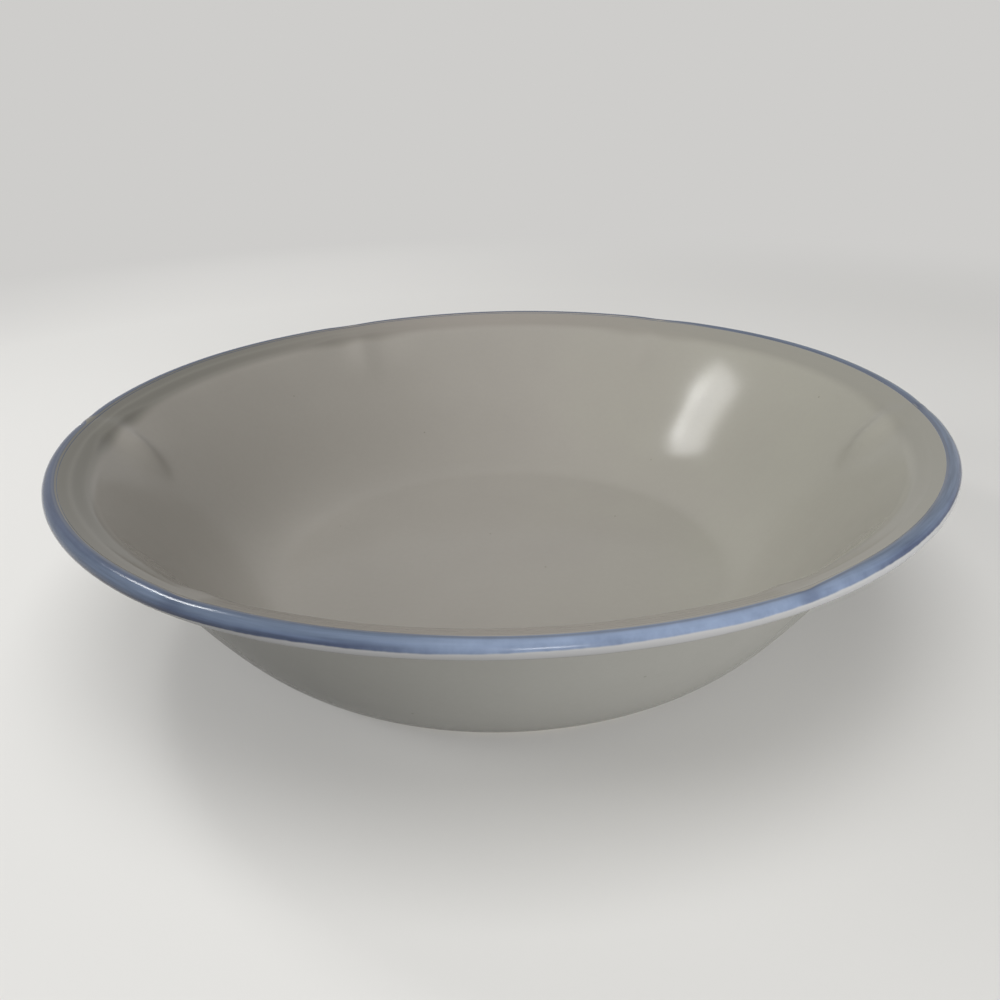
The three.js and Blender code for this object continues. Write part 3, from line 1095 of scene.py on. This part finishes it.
# Panels mirrored in the wall at WALL_SPOT: name, place in millimetres, width and height, power
WALL_LAMPS = (
    ("Window lamp", (-301.2, 121.9, 360.6), (0.08, 0.084), "window_power"),
    ("Pane lamp", (-297.7, 81.5, 370.8), (0.036, 0.02), "pane_power"),
)
WALL_SPOT = (66, 58, 27)
WALL_LEAN = math.radians(-29)
# Others: name, azimuth, elevation and distance, width and height, power, whether it is mirrored
LAMPS = (
    ("Strip lamp", (278, 13.2, 1.02), (0.2, 0.16), "strip_power", True),
    ("Top lamp", (270, 75, 1.4), (1.0, 1.0), "top_power", False),
    ("Left lamp", (185, 25, 1.2), (0.5, 0.3), "left_power", False),
    ("Front lamp", (270, 25, 1.2), (0.5, 0.3), "front_power", False),
    ("Back lamp", (110, 3, 0.8), (0.5, 0.06), "back_power", False),
    ("Side lamp", (313, 3, 0.7), (0.4, 0.06), "side_power", False),
)
FLOOR_GLOW = (0.25, 0.6)
FLOOR_ROUGHNESS = 0.9
SEEN_RAYS = ("Is Camera Ray", "Is Glossy Ray", "Is Transmission Ray")
SENSOR_WIDTH = 36
CLIP_START = 0.01


def make_floor(context, studio):
    """A level floor that sweeps up into a backdrop behind the bowl."""
    half_width = 3.0
    front = -2.0
    bend = 1.2
    bend_radius = 0.6
    top = 2.5
    steps = 16
    curve = arc_points(Vector((bend, bend_radius)), bend_radius, -math.pi / 2, 0, steps)
    line = [Vector((front, 0)), *curve, Vector((bend + bend_radius, top))]
    points = [(side * half_width, place.x, place.y) for place in line for side in (-1, 1)]
    faces = [(2 * k, 2 * k + 1, 2 * k + 3, 2 * k + 2) for k in range(len(line) - 1)]
    mesh = bpy.data.meshes.new("floor")
    mesh.from_pydata(points, [], faces)
    mesh.polygons.foreach_set("use_smooth", [True] * len(faces))
    mesh.materials.append(pale_floor(studio))
    floor = bpy.data.objects.new("floor", mesh)
    context.scene.collection.objects.link(floor)


def pale_floor(studio):
    """Pale to the eye with the bowl's shadow on it, and an even pale tone further off."""
    material, shader, wires = new_material("Pale floor")
    eye = rays(wires, SEEN_RAYS)
    reach = level_parts(wires, object_place(wires))[2]
    tone = wires.mix(eye, studio.floor_bounce, studio.floor)
    feed(wires, shader, Base_Color=tone, Roughness=FLOOR_ROUGHNESS)
    even = wires.node("ShaderNodeEmission", None, {"Color": (*studio.backdrop, 1.0), "Strength": 1.0})
    lift = rays(wires, SEEN_RAYS[:1]) * studio.floor_lift
    glow = wires.maths("MAXIMUM", eye * wires.smooth(reach, *FLOOR_GLOW), lift)
    lit = Value(wires, shader.outputs["BSDF"])
    both = wires.node("ShaderNodeMixShader", None, {"Fac": glow, 1: lit, 2: even})
    tree = wires.tree
    output = next(node for node in tree.nodes if node.bl_idname == "ShaderNodeOutputMaterial")
    tree.links.new(both.socket, output.inputs["Surface"])
    return material


def from_angles(azimuth, elevation, distance):
    """A place seen from the origin at these angles, in degrees, the azimuth from +X."""
    around = math.radians(azimuth)
    rise = math.radians(elevation)
    level = math.cos(rise)
    return Vector((level * math.cos(around), level * math.sin(around), math.sin(rise))) * distance


def panel_lamp(context, name, place, aim, panel, power, mirrored=False, lean=0.0):
    """A soft rectangular lamp, turned by lean about its own axis. Only mirrored ones show in the glaze."""
    lamp = bpy.data.lights.new(name, "AREA")
    lamp.shape = "RECTANGLE"
    lamp.size, lamp.size_y = panel
    lamp.energy = power
    holder = bpy.data.objects.new(name, lamp)
    holder.visible_glossy = mirrored
    turn = (aim - place).to_track_quat("-Z", "Y").to_matrix().to_4x4()
    holder.matrix_world = Matrix.Translation(place) @ turn @ Matrix.Rotation(lean, 4, "Z")
    context.scene.collection.objects.link(holder)


def rays(wires, kinds):
    """1 for rays of these kinds and 0 for others. Seen ones are straight, mirrored or through glass."""
    path = wires.node("ShaderNodeLightPath").socket.node
    found = [Value(wires, path.outputs[kind]) for kind in kinds]
    return wires.maths("MINIMUM", sum(found[1:], found[0]), 1.0)


def make_sky(context, studio):
    """Even light all round, which looks like the backdrop where it is seen or mirrored."""
    world = bpy.data.worlds.new("Even sky")
    world.use_nodes = True
    wires = Wires(world.node_tree)
    world.node_tree.nodes.clear()
    tone = wires.mix(rays(wires, SEEN_RAYS), (studio.sky,) * 3, studio.backdrop)
    glow = wires.node("ShaderNodeBackground", None, {"Color": tone, "Strength": 1.0})
    wires.node("ShaderNodeOutputWorld", None, {"Surface": glow})
    context.scene.world = world


def place_camera(context, studio):
    """The photograph's view: an aim point, a distance, an elevation and a small roll."""
    aim = Matrix.Translation((studio.aim_x, 0, studio.aim_z))
    rise = Matrix.Rotation(math.pi / 2 - studio.camera_elevation, 4, "X")
    roll = Matrix.Rotation(studio.camera_roll, 4, "Z")
    back = Matrix.Translation((0, 0, studio.camera_distance))
    camera = bpy.data.cameras.new("Camera")
    camera.sensor_width = SENSOR_WIDTH
    camera.lens = studio.lens
    camera.shift_y = studio.lens_shift
    camera.clip_start = CLIP_START
    holder = bpy.data.objects.new("Camera", camera)
    holder.matrix_world = aim @ rise @ roll @ back
    context.scene.collection.objects.link(holder)
    context.scene.camera = holder


# Panel and registration


class BOWL_PT_panel(bpy.types.Panel):
    """The bowl's pieces and their sizes"""

    bl_idname = "BOWL_PT_panel"
    bl_label = "Serving Bowl"
    bl_space_type = "VIEW_3D"
    bl_region_type = "UI"
    bl_category = "Bowl"

    def draw(self, context):
        layout = self.layout
        for operator in OPERATORS:
            layout.operator(operator.bl_idname)
        for group in (context.scene.bowl_shape, context.scene.bowl_look, context.scene.bowl_studio):
            column = layout.column()
            for name in group.__annotations__:
                column.prop(group, name)


OPERATORS = (
    BOWL_OT_inner_glaze, BOWL_OT_rim_band, BOWL_OT_outer_glaze, BOWL_OT_base_glaze,
    BOWL_OT_clay_body, BOWL_OT_stage,
)
CLASSES = (BowlShape, GlazeLook, StudioSetup, *OPERATORS, BOWL_PT_panel)


def register():
    for entry in CLASSES:
        bpy.utils.register_class(entry)
    bpy.types.Scene.bowl_shape = PointerProperty(type=BowlShape)
    bpy.types.Scene.bowl_look = PointerProperty(type=GlazeLook)
    bpy.types.Scene.bowl_studio = PointerProperty(type=StudioSetup)


def unregister():
    del bpy.types.Scene.bowl_studio
    del bpy.types.Scene.bowl_look
    del bpy.types.Scene.bowl_shape
    for entry in reversed(CLASSES):
        bpy.utils.unregister_class(entry)


def main():
    register()
    bpy.ops.bowl.stage()
    bpy.ops.bowl.inner_glaze()
    bpy.ops.bowl.rim_band()
    bpy.ops.bowl.outer_glaze()
    bpy.ops.bowl.base_glaze()
    bpy.ops.bowl.clay_body()


if __name__ == "__main__":
    main()
